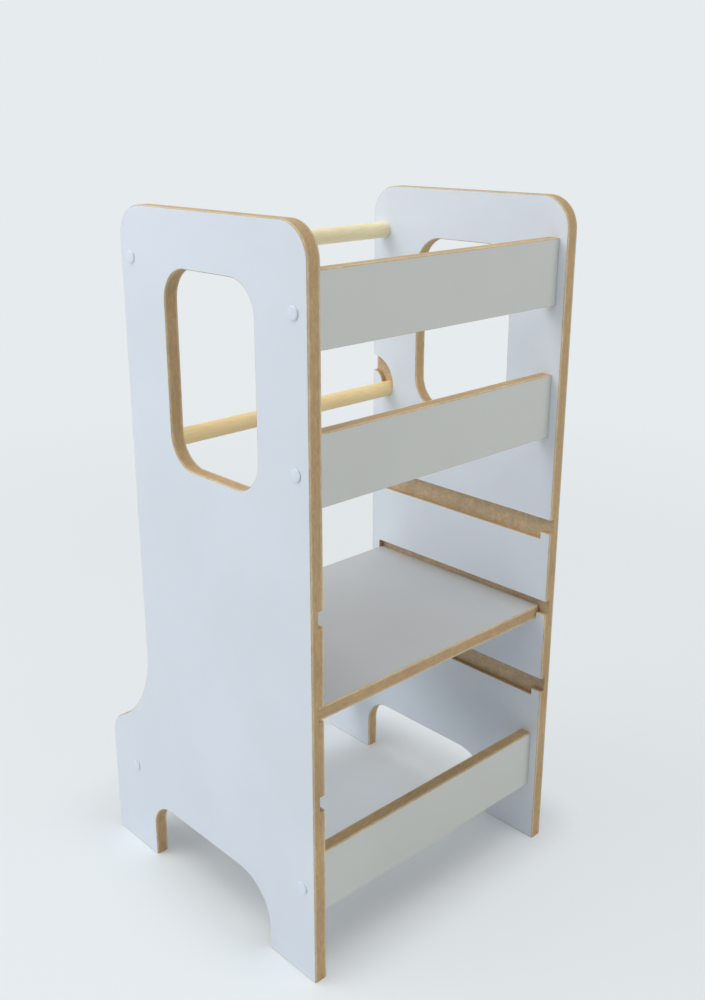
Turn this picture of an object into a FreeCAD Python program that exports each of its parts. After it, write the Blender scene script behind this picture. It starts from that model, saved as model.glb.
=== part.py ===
import FreeCAD, Part
import math
import os

# Kitchen helper stool for a toddler: two routed side panels joined by three front rails, a rear
# bottom rail and a fixed round bar, with a platform that sits in one of three pairs of grooves and
# a second round bar that lifts out of curved slots. Millimetres.
# X runs across the stool, Y from the front edge (rails) to the back (bars), Z up from the floor.
# The origin is on the floor, in the middle of the stool's width and depth.

V = FreeCAD.Vector
ALONG_X = V(1, 0, 0)

# ---- driving dimensions -------------------------------------------------------------------------
HEIGHT = 900.0
BOARD = 18.0               # thickness of every board
INNER_WIDTH = 400.0        # between the two side panels
PANEL_DEPTH = 330.0        # front edge to back edge, above the feet
FOOT_REACH = 100.0         # how far the feet run out behind the panel's back edge
PANEL_ARRIS = 1.5          # eased edge of the side panels
EDGE_ROUND = 2.0           # round on the arrises of the platform and the rail tops
RAIL_ARRIS = 0.8           # eased edge along the bottom of a rail and round its ends

CORNER_R = 40.0            # top corners of the side panels
FLARE_HOLLOW_R = 142.0     # hollow curve where the back edge turns out into the foot
FLARE_CROWN_R = 46.0       # crown of the foot, where it turns down again
FLARE_TOP_Z = 321.0        # where the back edge starts to turn out
HEEL_R = 8.0

WINDOW_U = (84.0, 246.0)   # U is the distance behind the panel's front edge
WINDOW_Z = (600.0, 835.0)
WINDOW_R = 40.0

ARCH_U = (85.0, 336.0)     # cut-out between the two feet of a panel
ARCH_TOP_Z = 90.0
ARCH_FRONT_R = 58.0
ARCH_BACK_R = 42.0

GROOVE_DEPTH = 8.0
GROOVE_FLOORS_Z = (227.0, 343.0, 459.0)
GROOVE_HEIGHT = 30.0       # pocket floor to ceiling
GROOVE_LIP = 10.0          # height of the lip that keeps the platform from sliding out
GROOVE_LIP_U = 15.0        # length of that lip behind the front edge
GROOVE_END_U = 315.0
GROOVE_R = 2.0
PLATFORM_LEVEL = 1         # index of the pair of grooves that holds the platform
END_GAP = 0.5              # play at each end of the platform and the loose bar
SEAT_GAP = 0.3             # loose pieces clear what they rest on by this much
PLATFORM_CORNER_R = 3.0

RAIL_HEIGHT = 82.0
RAIL_SETBACK = 12.0        # front face of the front rails behind the panels' front edge
BOTTOM_RAIL_Z = 86.0
MIDDLE_RAIL_Z = 600.0
TOP_RAIL_Z = 769.0
REAR_RAIL_U = 375.0        # middle of the rear rail's thickness

BAR_D = 22.0
TOP_BAR_U = 310.0
TOP_BAR_Z = 840.0
SLOT_CENTRE_Z = 620.0      # the slot is an arc about a point on the panel's back edge
SLOT_R = 28.3              # of the slot's middle line
SLOT_MOUTH_DEG = 90.0      # the mouth is straight above that point
SLOT_SEAT_DEG = 194.0      # the bar rests here, a little below straight ahead
SLOT_WIDTH = BAR_D + 2 * SEAT_GAP
BAR_CHAMFER = 1.0

SCREW_LENGTH = 50.0
SCREW_HEAD_R = 5.0
SCREW_CONE = 2.0           # length of the countersunk head
SCREW_SHANK_R = 3.0        # mean of the thread's crest and root
SCREW_TIP = 4.0
SOCKET_AF = 4.0            # hexagon socket, across the flats
SOCKET_DEPTH = 3.6
HOLE_PLAY = 0.05           # radial play of screws and dowels in their holes

CAP_R = 7.5
CAP_HEIGHT = 1.8
CAP_SHOULDER = (0.9, 6.9)  # height and radius where the rim turns in to the crown
CAP_CROWN_R = 4.0          # flat middle of the crown
CAP_STEM = 3.0

DOWEL_R = 4.0
DOWEL_IN_PANEL = 11.0
DOWEL_IN_RAIL = 19.0
DOWEL_SPREAD = 26.0        # each locating dowel above or below the rail's screw
HOLE_SLACK = 0.5           # blind holes are this much deeper than what they hold

OVERCUT = 5.0              # how far a cutting shape runs past a face
TINY = 1e-6
HEXAGON = 6
JOINERY_SIDES = 12         # screws and dowels, hidden in the boards, have flats like a ribbed dowel's
CAP_SIDES = 24

# ---- places worked out from them ----------------------------------------------------------------
DEPTH = PANEL_DEPTH + FOOT_REACH
FRONT_Y = -DEPTH / 2
INNER_X = INNER_WIDTH / 2
OUTER_X = INNER_X + BOARD
FRONT_RAIL_U = RAIL_SETBACK + BOARD / 2
RAIL_MIDDLE = RAIL_HEIGHT / 2

# name: (distance of the middle behind the front edge, height of the lower edge)
RAILS = {
    "bottom_front_rail": (FRONT_RAIL_U, BOTTOM_RAIL_Z),
    "middle_front_rail": (FRONT_RAIL_U, MIDDLE_RAIL_Z),
    "top_front_rail": (FRONT_RAIL_U, TOP_RAIL_Z),
    "rear_bottom_rail": (REAR_RAIL_U, BOTTOM_RAIL_Z),
}


def at(x, u, z):
    """Point from X, the distance U behind the front edge, and Z."""
    return V(x, FRONT_Y + u, z)


def rounded_wire(corners, x):
    """Closed wire in the plane X = x through corners (u, z, radius), each corner rounded."""
    points = [at(x, u, z) for u, z, _ in corners]
    edges = []
    starts, ends = [], []
    for i, (_, _, radius) in enumerate(corners):
        corner = points[i]
        back = (points[i - 1] - corner).normalize()
        ahead = (points[(i + 1) % len(points)] - corner).normalize()
        half = back.getAngle(ahead) / 2
        tangent = radius / math.tan(half)
        starts.append(corner + back * tangent)
        ends.append(corner + ahead * tangent)
        if radius > 0:
            inward = (back + ahead).normalize()
            middle = corner + inward * (radius / math.sin(half) - radius)
            edges.append(Part.Arc(starts[i], middle, ends[i]).toShape())
    for i, end in enumerate(ends):
        start = starts[(i + 1) % len(starts)]
        if end.distanceToPoint(start) > TINY:
            edges.append(Part.makeLine(end, start))
    return Part.Wire(Part.__sortEdges__(edges))


def plate(corners, x, thickness):
    """Flat solid of that rounded outline, from X = x to X = x + thickness."""
    return Part.Face(rounded_wire(corners, x)).extrude(ALONG_X * thickness)


def rectangle(u, z, radius):
    """Corners of a rectangle between the U and Z limits, with one radius."""
    return [(u[0], z[0], radius), (u[0], z[1], radius), (u[1], z[1], radius), (u[1], z[0], radius)]


def towards(degrees):
    """Unit vector in the YZ plane, turned up from straight back."""
    angle = math.radians(degrees)
    return V(0, math.cos(angle), math.sin(angle))


def turned(profile, place):
    """Solid of revolution along X from place, of (distance along X, radius) points."""
    points = [V(along, radius, 0) for along, radius in profile]
    face = Part.Face(Part.makePolygon(points + [points[0]]))
    solid = face.revolve(V(0, 0, 0), ALONG_X, 360)
    solid.translate(place)
    return solid


def polygon(sides, radius, place):
    """Regular polygon across X, around place."""
    corners = [place + towards(360 * i / sides) * radius for i in range(sides)]
    return Part.makePolygon(corners + [corners[0]])


def hexagon(across_flats, length, place):
    """Hexagonal prism along X from place."""
    outline = polygon(HEXAGON, across_flats / math.sqrt(3), place)
    return Part.Face(outline).extrude(ALONG_X * length)


def flatted(profile, place, sides=JOINERY_SIDES):
    """Rod with flats, along X from place, through (distance along X, radius) points."""
    rings = [polygon(sides, radius, place + ALONG_X * along) for along, radius in profile]
    return Part.makeLoft(rings, True, True)


def mirrored(shape):
    """The same piece for the other side of the stool."""
    return shape.mirror(V(0, 0, 0), ALONG_X)


def both_sides(solids):
    """Group of the solids and their mirror images."""
    return Part.makeCompound(solids + [mirrored(solid) for solid in solids])


# ---- side panels --------------------------------------------------------------------------------
def flare_corners():
    """Corners of the S-curve from the back edge to the foot: two arcs that touch each other."""
    turn = math.acos(1 - FOOT_REACH / (FLARE_HOLLOW_R + FLARE_CROWN_R))
    hollow_z = FLARE_TOP_Z - FLARE_HOLLOW_R * math.tan(turn / 2)
    crown_z = hollow_z - FOOT_REACH / math.tan(turn)
    return [(PANEL_DEPTH, hollow_z, FLARE_HOLLOW_R), (DEPTH, crown_z, FLARE_CROWN_R)]


def panel_outline():
    """Front edge, rounded top, back edge with its flare, back foot, arch and front foot."""
    arch = [(ARCH_U[1], 0, 0), (ARCH_U[1], ARCH_TOP_Z, ARCH_BACK_R),
            (ARCH_U[0], ARCH_TOP_Z, ARCH_FRONT_R), (ARCH_U[0], 0, 0)]
    return ([(0, 0, 0), (0, HEIGHT, CORNER_R), (PANEL_DEPTH, HEIGHT, CORNER_R)]
            + flare_corners() + [(DEPTH, 0, HEEL_R)] + arch)


def groove_cutter(floor_z):
    """Groove of one level: an entry open at the front edge, then a deeper pocket behind the lip."""
    lip_z = floor_z + GROOVE_LIP
    ceiling_z = floor_z + GROOVE_HEIGHT
    corners = [(-OVERCUT, lip_z, 0), (GROOVE_LIP_U, lip_z, 0), (GROOVE_LIP_U, floor_z, GROOVE_R),
               (GROOVE_END_U, floor_z, GROOVE_R), (GROOVE_END_U, ceiling_z, GROOVE_R),
               (-OVERCUT, ceiling_z, 0)]
    return plate(corners, -INNER_X - GROOVE_DEPTH, GROOVE_DEPTH + OVERCUT)


def slot_point(radius, degrees, x):
    """Point on an arc about the slot's centre on the back edge."""
    return at(x, PANEL_DEPTH, SLOT_CENTRE_Z) + towards(degrees) * radius


def slot_cutter():
    """Curved slot from its mouth in the back edge round to the closed end where the bar rests."""
    x = -INNER_X - GROOVE_DEPTH
    half = SLOT_WIDTH / 2
    middle = (SLOT_MOUTH_DEG + SLOT_SEAT_DEG) / 2
    outer = [slot_point(SLOT_R + half, a, x) for a in (SLOT_MOUTH_DEG, middle, SLOT_SEAT_DEG)]
    inner = [slot_point(SLOT_R - half, a, x) for a in (SLOT_SEAT_DEG, middle, SLOT_MOUTH_DEG)]
    closed_end = slot_point(SLOT_R, SLOT_SEAT_DEG, x) + towards(SLOT_SEAT_DEG + 90) * half
    behind_panel = V(0, OVERCUT, 0)
    edges = [
        Part.Arc(*outer).toShape(),
        Part.Arc(outer[-1], closed_end, inner[0]).toShape(),
        Part.Arc(*inner).toShape(),
        Part.makeLine(inner[-1], inner[-1] + behind_panel),
        Part.makeLine(inner[-1] + behind_panel, outer[0] + behind_panel),
        Part.makeLine(outer[0] + behind_panel, outer[0]),
    ]
    return Part.Face(Part.Wire(edges)).extrude(ALONG_X * (GROOVE_DEPTH + OVERCUT))


def fixing_points():
    """(U, Z) of the screw at the left end of each rail and of the fixed bar."""
    points = [(u, z + RAIL_MIDDLE) for u, z in RAILS.values()]
    return points + [(TOP_BAR_U, TOP_BAR_Z)]


def dowel_points(rail):
    """(U, Z) of the two locating dowels at an end of a rail."""
    u, z = RAILS[rail]
    return [(u, z + RAIL_MIDDLE + side * DOWEL_SPREAD) for side in (-1, 1)]


def left_panel():
    """Left side panel: routed board with eased edges, then grooved, slotted and drilled."""
    blank = plate(panel_outline(), -OUTER_X, BOARD)
    window = plate(rectangle(WINDOW_U, WINDOW_Z, WINDOW_R), -OUTER_X - OVERCUT, BOARD + 2 * OVERCUT)
    blank = blank.cut(window)
    arrises = [edge for edge in blank.Edges if edge.BoundBox.XLength < TINY]
    board = blank.makeChamfer(PANEL_ARRIS, arrises)
    grooves = [groove_cutter(floor_z) for floor_z in GROOVE_FLOORS_Z]
    screw_holes = [screw_hole(u, z) for u, z in fixing_points()]
    dowel_holes = [dowel_hole(u, z) for name in RAILS for u, z in dowel_points(name)]
    return board.cut(grooves + [slot_cutter()] + screw_holes + dowel_holes)


# ---- screws, caps and dowels --------------------------------------------------------------------
def screw_profile(play, extra_length):
    """(distance, radius) points of the countersunk screw, or of its hole with some play."""
    shank = SCREW_SHANK_R + play
    end = SCREW_LENGTH + extra_length
    return [(0, SCREW_HEAD_R + play), (SCREW_CONE, shank), (end - SCREW_TIP, shank), (end, shank / 2)]


def screw_hole(u, z):
    """Countersunk hole for the screw, through the panel and on into the rail or bar."""
    return flatted(screw_profile(HOLE_PLAY, HOLE_SLACK), at(-OUTER_X, u, z))


def screw_solid(u, z):
    """Countersunk connecting screw with a hexagon socket, its head flush with the panel."""
    place = at(-OUTER_X, u, z)
    return flatted(screw_profile(0, 0), place).cut(hexagon(SOCKET_AF, SOCKET_DEPTH, place))


def cap(u, z):
    """Low domed cover over a screw head, with a stem that plugs into the socket."""
    place = at(-OUTER_X, u, z)
    shoulder_height, shoulder_r = CAP_SHOULDER
    profile = [(0, CAP_R), (-shoulder_height, shoulder_r), (-CAP_HEIGHT, CAP_CROWN_R)]
    dome = flatted(profile, place, CAP_SIDES)
    return dome.fuse(hexagon(SOCKET_AF - 2 * HOLE_PLAY, CAP_STEM, place))


def dowel_solid(u, z):
    """Ribbed wooden locating dowel, part in the panel and part in the rail."""
    length = DOWEL_IN_PANEL + DOWEL_IN_RAIL
    start = at(-INNER_X - DOWEL_IN_PANEL, u, z)
    return flatted([(0, DOWEL_R), (length, DOWEL_R)], start)


def dowel_hole(u, z):
    """Blind holes for a dowel in the panel's inner face and the rail's end."""
    radius = DOWEL_R + HOLE_PLAY
    length = DOWEL_IN_PANEL + DOWEL_IN_RAIL + 2 * HOLE_SLACK
    start = at(-INNER_X - DOWEL_IN_PANEL - HOLE_SLACK, u, z)
    return flatted([(0, radius), (length, radius)], start)


# ---- rails, bars and platform -------------------------------------------------------------------
def rail(name):
    """Board on edge between the panels, its top arrises rounded and the rest just eased."""
    u, z = RAILS[name]
    board = Part.makeBox(INNER_WIDTH, BOARD, RAIL_HEIGHT, at(-INNER_X, u - BOARD / 2, z))
    top = [edge for edge in board.Edges
           if edge.BoundBox.XLength > BOARD and edge.BoundBox.ZMin > z + RAIL_MIDDLE]
    board = board.makeFillet(EDGE_ROUND, top)
    rest = [edge for edge in board.Edges
            if edge.BoundBox.XLength < TINY or edge.BoundBox.ZMax < z + RAIL_MIDDLE]
    board = board.makeChamfer(RAIL_ARRIS, rest)
    holes = [screw_hole(u, z + RAIL_MIDDLE)] + [dowel_hole(*point) for point in dowel_points(name)]
    return board.cut(holes + [mirrored(hole) for hole in holes])


def round_bar(half_length, middle):
    """Round bar across the stool, with chamfered ends."""
    radius = BAR_D / 2
    length = 2 * half_length
    profile = [(0, 0), (0, radius - BAR_CHAMFER), (BAR_CHAMFER, radius), (length - BAR_CHAMFER, radius),
               (length, radius - BAR_CHAMFER), (length, 0)]
    return turned(profile, middle - ALONG_X * half_length)


def fixed_bar():
    """Round bar screwed between the panels' top back corners."""
    bar = round_bar(INNER_X, at(0, TOP_BAR_U, TOP_BAR_Z))
    hole = screw_hole(TOP_BAR_U, TOP_BAR_Z)
    return bar.cut([hole, mirrored(hole)])


def loose_bar():
    """Round bar whose ends rest in the curved slots."""
    return round_bar(INNER_X + GROOVE_DEPTH - END_GAP, slot_point(SLOT_R, SLOT_SEAT_DEG, 0))


def platform():
    """Loose board that rests on the floors of one pair of grooves, behind the lips."""
    x = INNER_X + GROOVE_DEPTH - END_GAP
    front = GROOVE_LIP_U + END_GAP
    depth = GROOVE_END_U - END_GAP - front
    z = GROOVE_FLOORS_Z[PLATFORM_LEVEL] + SEAT_GAP
    board = Part.makeBox(2 * x, depth, BOARD, at(-x, front, z))
    uprights = [edge for edge in board.Edges if edge.BoundBox.ZLength > BOARD / 2]
    board = board.makeFillet(PLATFORM_CORNER_R, uprights)
    arrises = [edge for edge in board.Edges if edge.BoundBox.ZLength < TINY]
    return board.makeFillet(EDGE_ROUND, arrises)


# ---- write one file per sub-part ----------------------------------------------------------------
def build():
    """All sub-parts by name."""
    panel = left_panel()
    parts = {"left_side_panel": panel, "right_side_panel": mirrored(panel)}
    for name, (u, z) in RAILS.items():
        parts[name] = rail(name)
        parts[name + "_screws"] = both_sides([screw_solid(u, z + RAIL_MIDDLE)])
        parts[name + "_dowels"] = both_sides([dowel_solid(*point) for point in dowel_points(name)])
    parts["top_rear_bar"] = fixed_bar()
    parts["top_rear_bar_screws"] = both_sides([screw_solid(TOP_BAR_U, TOP_BAR_Z)])
    parts["removable_rear_bar"] = loose_bar()
    parts["platform"] = platform()
    caps = [cap(u, z) for u, z in fixing_points()]
    parts["left_screw_caps"] = Part.makeCompound(caps)
    parts["right_screw_caps"] = Part.makeCompound([mirrored(piece) for piece in caps])
    return parts


os.makedirs("parts", exist_ok=True)
for part_name, shape in build().items():
    shape.exportStep(os.path.join("parts", part_name + ".step"))
    box = shape.BoundBox
    print(part_name, shape.isValid(), len(shape.Solids), round(shape.Volume / 1000, 2), "cm3",
          [round(v, 2) for v in (box.XMin, box.XMax, box.YMin, box.YMax, box.ZMin, box.ZMax)])
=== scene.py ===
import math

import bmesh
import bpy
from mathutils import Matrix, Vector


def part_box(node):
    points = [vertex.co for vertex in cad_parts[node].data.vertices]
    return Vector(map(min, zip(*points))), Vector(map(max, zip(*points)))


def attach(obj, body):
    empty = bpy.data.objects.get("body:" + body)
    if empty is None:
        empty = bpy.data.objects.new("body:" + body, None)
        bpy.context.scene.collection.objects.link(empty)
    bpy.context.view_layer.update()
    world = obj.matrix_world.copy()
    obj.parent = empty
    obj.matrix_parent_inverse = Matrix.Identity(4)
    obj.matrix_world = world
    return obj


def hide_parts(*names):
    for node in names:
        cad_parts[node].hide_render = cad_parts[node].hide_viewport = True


bl_info = {
    "name": "Toddler helper stool",
    "version": (1, 0, 0),
    "blender": (4, 5, 0),
    "location": "3D View > Sidebar > Helper Stool",
    "description": "Routed boards, round bars, caps and joinery of a toddler's helper stool",
    "category": "Object",
}

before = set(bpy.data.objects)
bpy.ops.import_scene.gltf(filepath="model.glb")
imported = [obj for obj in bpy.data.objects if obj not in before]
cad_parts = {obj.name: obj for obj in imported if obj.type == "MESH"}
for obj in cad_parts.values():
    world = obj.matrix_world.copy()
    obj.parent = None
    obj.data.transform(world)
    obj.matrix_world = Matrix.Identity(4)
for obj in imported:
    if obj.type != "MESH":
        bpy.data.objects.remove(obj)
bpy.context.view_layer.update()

# ---- sizes, in metres ---------------------------------------------------------------------------
# U is the distance behind the side panels' front edge, as in the CAD source.
PANEL_LOW, PANEL_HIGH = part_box("left_side_panel")
FRONT_Y = PANEL_LOW.y
OUTER_X = -PANEL_LOW.x
INNER_X = -PANEL_HIGH.x
BOARD = OUTER_X - INNER_X
PANEL_MIDDLE_X = (OUTER_X + INNER_X) / 2

PANEL_DEPTH = 0.330
FOOT_DEPTH = 0.430
PANEL_HEIGHT = 0.900
TOP_R = 0.040
# The back edge turns out into the foot by two arcs that touch each other.
HOLLOW_R, CROWN_R, FLARE_TOP = 0.142, 0.046, 0.321
FLARE_REACH = 0.100
FLARE_TURN = math.acos(1 - FLARE_REACH / (HOLLOW_R + CROWN_R))
HOLLOW_Z = FLARE_TOP - HOLLOW_R * math.tan(FLARE_TURN / 2)
CROWN_Z = HOLLOW_Z - FLARE_REACH / math.tan(FLARE_TURN)
# (U, height, radius) of the corners of the side panels' outline, with the arch between the feet
PANEL_CORNERS = (
    (0.000, 0.000, 0.000),
    (0.000, PANEL_HEIGHT, TOP_R),
    (PANEL_DEPTH, PANEL_HEIGHT, TOP_R),
    (PANEL_DEPTH, HOLLOW_Z, HOLLOW_R),
    (FOOT_DEPTH, CROWN_Z, CROWN_R),
    (FOOT_DEPTH, 0.000, 0.008),
    (0.336, 0.000, 0.000),
    (0.336, 0.090, 0.042),
    (0.085, 0.090, 0.058),
    (0.085, 0.000, 0.000),
)
# (U, height, radius) of the corners of the hand window
WINDOW_CORNERS = (
    (0.246, 0.600, 0.040),
    (0.246, 0.835, 0.040),
    (0.084, 0.835, 0.040),
    (0.084, 0.600, 0.040),
)

GROOVE_FLOORS = (0.227, 0.343, 0.459)
GROOVE_HEIGHT = 0.030
GROOVE_DEPTH = 0.008
GROOVE_END_U = 0.315
GROOVE_CORNER = 0.002
LIP_HEIGHT = 0.010
LIP_LENGTH = 0.015
# The loose bar's slot is an arc about a point (U, height) on the panels' back edge.
SLOT_CENTRE = (PANEL_DEPTH, 0.620)
SLOT_RADIUS = 0.0283
SLOT_MOUTH = math.radians(90)
SLOT_SEAT = math.radians(194)
SLOT_WIDTH = 0.0226
# How far a cutting shape stands out of the board that it cuts
OVERCUT = 0.005

# (U, height) of the screws at each panel, and of the dowels beside those of the rails
RAIL_FIXINGS = ((0.021, 0.127), (0.021, 0.641), (0.021, 0.810), (0.375, 0.127))
BAR_FIXING = (0.310, 0.840)
DOWEL_SPREAD = 0.026
DOWEL_HOLE_R = 0.00415
DOWEL_IN_PANEL = 0.0115
DOWEL_IN_RAIL = 0.0195
SCREW_HOLE_R = 0.00315
SCREW_HEAD_HOLE_R = 0.00515
SCREW_HEAD_DEPTH = 0.0021
SCREW_HOLE_LENGTH = 0.0505

RAILS = ("top_front_rail", "middle_front_rail", "bottom_front_rail", "rear_bottom_rail")
ARC_STEPS = 24
HOLE_STEPS = 32
BAR_END_STEPS = 3
TINY = 1e-5
# Cosine from which two directions count as one, and the angle below which two faces count as flat
STRAIGHT = 0.999
FLAT_ANGLE = math.radians(0.3)


def colour(red, green, blue):
    """Linear colour of an sRGB one given from 0 to 255."""
    values = (c / 255 for c in (red, green, blue))
    return tuple(c / 12.92 if c <= 0.04045 else ((c + 0.055) / 1.055) ** 2.4 for c in values)


def colour_property(name, description, *srgb):
    """Colour setting with its default given as sRGB from 0 to 255."""
    return bpy.props.FloatVectorProperty(
        name=name, description=description, subtype="COLOR", min=0, max=1, default=colour(*srgb))


def length_property(name, description, default):
    """Length setting, in metres."""
    return bpy.props.FloatProperty(
        name=name, description=description, default=default, min=0, unit="LENGTH", subtype="DISTANCE")


def power_property(name, description, default):
    """Power of a lamp, in watts."""
    return bpy.props.FloatProperty(name=name, description=description, default=default, min=0, unit="POWER")


# ---- settings -----------------------------------------------------------------------------------
class StoolShapeSettings(bpy.types.PropertyGroup):
    panel_arris: length_property("Panel arris", "Round along the side panels' edges", 0.001)
    rail_arris: length_property("Rail arris", "Round along the top of the rails", 0.0015)
    rail_end_arris: length_property("Rail end arris", "Round along a rail's ends and bottom", 0.0006)
    platform_corner: length_property("Platform corner", "Radius of the platform's four corners", 0.003)
    platform_arris: length_property("Platform arris", "Round along the platform's edges", 0.0012)
    bar_arris: length_property("Bar arris", "Round at the ends of the bars", 0.001)
    round_segments: bpy.props.IntProperty(
        name="Round segments", description="Steps across each rounded edge", default=4, min=1, max=12)
    bar_segments: bpy.props.IntProperty(
        name="Bar segments", description="Steps round the bars and caps", default=64, min=12, max=256)


class StoolColourSettings(bpy.types.PropertyGroup):
    # One laminate in three tones: the side panels' lighter, bluer tone is painted cool window light, and
    # the rails' greyer tone and the platform's darker tone are painted shade.
    panel_sheet: colour_property("Side panels", "Laminate of the side panels", 234, 240, 248)
    rail_sheet: colour_property("Rails", "Laminate of the rails", 210, 213, 209)
    platform_sheet: colour_property("Platform", "Laminate of the platform", 197, 199, 200)
    fibre: colour_property("Raw fibre", "Lacquered edge of the fibreboard", 198, 166, 122)
    # Pale band along the raw edges: partly the routed arris's own tone, partly a painted highlight where
    # the round catches light.
    fibre_arris_and_highlight: colour_property("Raw arris", "Rounded edge of the fibreboard", 222, 203, 168)
    routed: colour_property("Routed fibre", "Flat bottom of a routed groove or slot", 214, 188, 152)
    fixed_wood: colour_property("Fixed bar wood", "Pale wood of the top bar", 255, 244, 202)
    fixed_grain: colour_property("Fixed bar grain", "Late wood in the top bar", 248, 223, 172)
    loose_wood: colour_property("Loose bar wood", "Pale wood of loose bar and dowels", 255, 231, 175)
    loose_grain: colour_property("Loose bar grain", "Late wood in loose bar and dowels", 254, 211, 145)
    # The caps' bluish tone copies the side panels' painted cool light.
    cap: colour_property("Caps", "Plastic of the screw caps", 235, 244, 254)
    steel: colour_property("Screws", "Zinc-plated steel of the screws", 205, 205, 200)


class StoolStageSettings(bpy.types.PropertyGroup):
    floor: colour_property("Floor", "Pale studio floor", 244, 249, 252)
    backdrop: colour_property("Backdrop", "What the camera sees beyond the floor", 230, 235, 238)
    window_power: power_property("Window light", "Large soft light on the left, behind", 25)
    front_power: power_property("Front light", "Soft light low in front, on the right", 23.5)
    high_power: power_property("High light", "Soft light high on the left, behind", 24)
    ceiling_power: power_property("Ceiling light", "Very large soft light overhead", 34)
    sky_level: bpy.props.FloatProperty(
        name="Room light", description="Even light from all round", default=0.2, min=0, max=2)
    lens: bpy.props.FloatProperty(
        name="Lens", description="Focal length for a 36 mm long side", default=40.07, min=10, unit="CAMERA")


# ---- node helpers -------------------------------------------------------------------------------
def add_node(tree, kind, inputs=None, **settings):
    """New node with its settings and its inputs, each a value or a socket to join to."""
    made = tree.nodes.new(kind)
    for key, value in settings.items():
        setattr(made, key, value)
    for key, value in (inputs or {}).items():
        if isinstance(value, bpy.types.NodeSocket):
            tree.links.new(value, made.inputs[key])
        else:
            made.inputs[key].default_value = value
    return made


def maths(tree, operation, *values, clamp=False):
    """Output of a Math node."""
    made = add_node(tree, "ShaderNodeMath", dict(enumerate(values)), operation=operation, use_clamp=clamp)
    return made.outputs[0]


def vector_maths(tree, operation, *values):
    """Output of a Vector Math node."""
    made = add_node(tree, "ShaderNodeVectorMath", dict(enumerate(values)), operation=operation)
    return made.outputs["Value" if operation == "LENGTH" else "Vector"]


def between(tree, value, low, high, to_low=0.0, to_high=1.0, smooth=True):
    """Output of a Map Range node."""
    inputs = {"Value": value, "From Min": low, "From Max": high, "To Min": to_low, "To Max": to_high}
    kind = "SMOOTHSTEP" if smooth else "LINEAR"
    return add_node(tree, "ShaderNodeMapRange", inputs, interpolation_type=kind).outputs["Result"]


def blended(tree, factor, first, second, blend="MIX"):
    """Colour output of a Mix node."""
    mix = add_node(tree, "ShaderNodeMix", data_type="RGBA", blend_type=blend)
    for key, value in (("Factor_Float", factor), ("A_Color", first), ("B_Color", second)):
        socket = next(s for s in mix.inputs if s.identifier == key)
        if isinstance(value, bpy.types.NodeSocket):
            tree.links.new(value, socket)
        elif hasattr(value, "__len__"):
            socket.default_value = (*value[:3], 1)
        else:
            socket.default_value = value
    return next(s for s in mix.outputs if s.identifier == "Result_Color")


def noise(tree, vector, scale, detail=2.0, roughness=0.5):
    """Factor output of a Noise Texture."""
    inputs = {"Vector": vector, "Scale": scale, "Detail": detail, "Roughness": roughness}
    return add_node(tree, "ShaderNodeTexNoise", inputs).outputs["Fac"]


def stretched(tree, vector, scale, offset=(0, 0, 0)):
    """Vector scaled and shifted by a Mapping node."""
    inputs = {"Vector": vector, "Scale": scale, "Location": offset}
    return add_node(tree, "ShaderNodeMapping", inputs).outputs["Vector"]


def object_place(tree):
    """Place in the object, which stays with a piece as it moves."""
    return add_node(tree, "ShaderNodeTexCoord").outputs["Object"]


SOCKETS = {"colour": "NodeSocketColor", "value": "NodeSocketFloat", "vector": "NodeSocketVector"}


def node_group(name, inputs, outputs):
    """Empty shader node group with its sockets; returns the tree, its input and its output node."""
    tree = bpy.data.node_groups.new(name, "ShaderNodeTree")
    for label, kind, default in inputs:
        socket = tree.interface.new_socket(label, in_out="INPUT", socket_type=SOCKETS[kind])
        if default is not None:
            socket.default_value = default
    for label, kind in outputs:
        tree.interface.new_socket(label, in_out="OUTPUT", socket_type=SOCKETS[kind])
    return tree, tree.nodes.new("NodeGroupInput"), tree.nodes.new("NodeGroupOutput")


def put_out(tree, output, **sockets):
    """Joins each socket to the group's output of that name."""
    for label, socket in sockets.items():
        tree.links.new(socket, output.inputs[label])


def arrange(tree):
    """Sets the nodes out in columns, from what feeds them to what they feed."""
    depth = {}

    def find(node):
        if node not in depth:
            depth[node] = 0
            users = [link.to_node for out in node.outputs for link in out.links]
            depth[node] = 1 + max((find(user) for user in users), default=0)
        return depth[node]

    rows = {}
    for item in tree.nodes:
        column = find(item)
        rows[column] = rows.get(column, 0) + 1
        item.location = (-240 * column, -220 * rows[column])


# ---- shared effects -----------------------------------------------------------------------------
SPECK_COLOUR = colour(104, 74, 46)
FACE_LINE_COLOUR = colour(150, 122, 88)
PORE_COLOUR = colour(150, 112, 70)


def handling_group():
    """Soft traces of use: broad cloudiness, fine rubbed streaks, and a very fine skin."""
    tree, given, out = node_group(
        "Handling", [("Vector", "vector", None), ("Skin Size", "value", 0.0006)],
        [("Cloud", "value"), ("Rub", "value"), ("Skin", "value")])
    vector = given.outputs["Vector"]
    cloud = noise(tree, vector, 5.0, detail=3.0, roughness=0.55)
    broken = noise(tree, vector, 22.0, detail=2.0)
    streak = noise(tree, stretched(tree, vector, (260, 90, 14)), 1.0, detail=3.0, roughness=0.6)
    rub = maths(tree, "MULTIPLY", between(tree, streak, 0.58, 0.74), between(tree, broken, 0.5, 0.62))
    skin = noise(tree, vector, maths(tree, "DIVIDE", 1.0, given.outputs["Skin Size"]), detail=2.0)
    put_out(tree, out, Cloud=cloud, Rub=rub, Skin=skin)
    arrange(tree)
    return tree


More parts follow.
